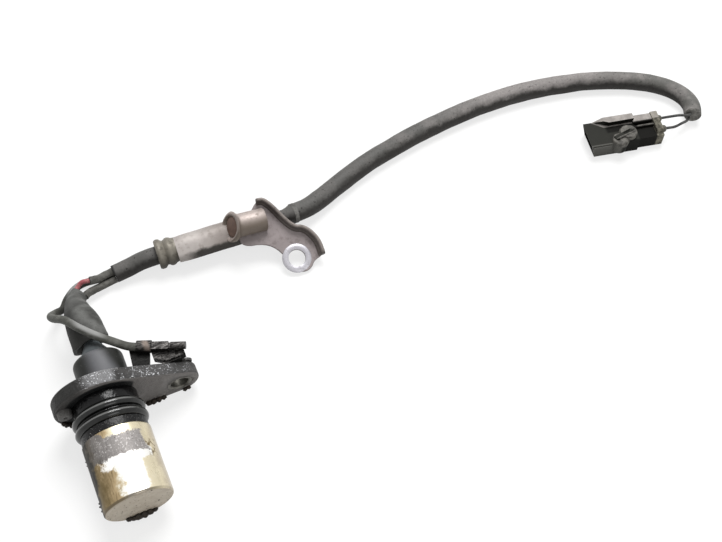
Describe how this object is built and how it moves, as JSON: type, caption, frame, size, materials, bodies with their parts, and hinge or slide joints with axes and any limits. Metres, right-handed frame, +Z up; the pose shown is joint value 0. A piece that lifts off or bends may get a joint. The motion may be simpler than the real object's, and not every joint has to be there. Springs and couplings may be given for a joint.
{
  "type": "crankshaft position sensor",
  "caption": "Inductive crankshaft position sensor: metal can, seal rings and bolt flange, with a booted, sheathed pigtail, clamp bracket and moulded plug.",
  "frame": {"origin": "centre of the sensor's own footprint box on the table, without the pigtail", "axes": "+Z up from the table; the can points along -Y and the bolt ear toward +X"},
  "size_m": [0.2956, 0.1216, 0.0323],
  "materials": {
    "housing_plastic": "moulded, dusty and oily",
    "bush_steel": "plain turned steel",
    "ring_rubber": "glossy seal rubber",
    "can_metal": "drawn, worn and stained",
    "bobbin_plastic": "moulded",
    "copper_wire": "enamelled winding",
    "iron": "plain",
    "magnet": "plain",
    "potting": "cast resin",
    "boot_rubber": "matt, dusty",
    "clip_metal": "tarnished",
    "drain_cover": "matt, dusty",
    "red_cover": "faded",
    "sleeve_cloth": "dusty",
    "sheath_rubber": "mottled with dust",
    "bracket_zinc": "dull zinc plating",
    "bush_rubber": "red-brown, aged",
    "connector_plastic": "moulded, scuffed",
    "seal_rubber": "pale seal rubber",
    "pin_metal": "tinned",
    "wire_cover": "plain"
  },
  "bodies": {
    "root": {"sensor_housing": "housing_plastic", "bolt_bush": "bush_steel", "o_ring_upper": "ring_rubber", "o_ring_lower": "ring_rubber", "can": "can_metal", "coil_bobbin": "bobbin_plastic", "coil_winding": "copper_wire", "pole_piece": "iron", "magnet": "magnet", "back_iron": "iron", "potting": "potting", "boot": "boot_rubber", "earth_clip": "clip_metal", "drain_lead": "drain_cover", "red_lead": "red_cover", "sleeve_a": "sleeve_cloth", "sleeve_b": "sleeve_cloth", "sheath": "sheath_rubber", "bracket": "bracket_zinc", "clamp_bush": "bush_rubber", "connector_housing": "connector_plastic", "seal_a": "seal_rubber", "seal_b": "seal_rubber", "pin_a": "pin_metal", "pin_b": "pin_metal", "wire_a": "wire_cover", "wire_b": "wire_cover"}
  },
  "joints": []
}
